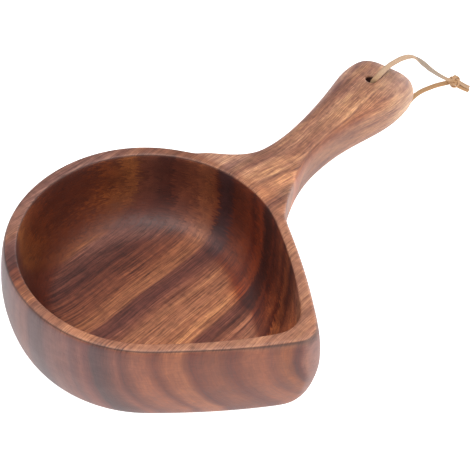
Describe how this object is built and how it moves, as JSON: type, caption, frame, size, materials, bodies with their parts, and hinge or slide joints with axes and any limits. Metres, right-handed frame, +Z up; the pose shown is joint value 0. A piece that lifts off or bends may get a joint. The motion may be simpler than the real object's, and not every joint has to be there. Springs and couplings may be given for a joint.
{
  "type": "handled soup bowl",
  "caption": "Carved wooden soup bowl with a pouring lip at one side, a flared handle with a hanging hole, and a knotted leather thong through it.",
  "frame": {"origin": "centre of the round part of the bowl, on the plane that its flat base stands on", "axes": "+Z up out of the bowl's mouth, +Y along the handle away from the bowl, +X towards the pouring lip"},
  "size_m": [0.1609, 0.3456, 0.0555],
  "materials": {
    "oiled_acacia": "oiled, satin",
    "tan_leather": "matt"
  },
  "bodies": {
    "bowl": {"wooden_bowl": "oiled_acacia"},
    "thong": {"thong_loop": "tan_leather", "thong_knot": "tan_leather", "thong_tail_upper": "tan_leather", "thong_tail_lower": "tan_leather"}
  },
  "joints": [
    {"name": "thong_swing", "type": "hinge", "parent": "bowl", "child": "thong", "pos_m": [0.0147, 0.1777, 0.05], "axis": [0, 0, 1], "range_deg": [-150, 150]}
  ]
}
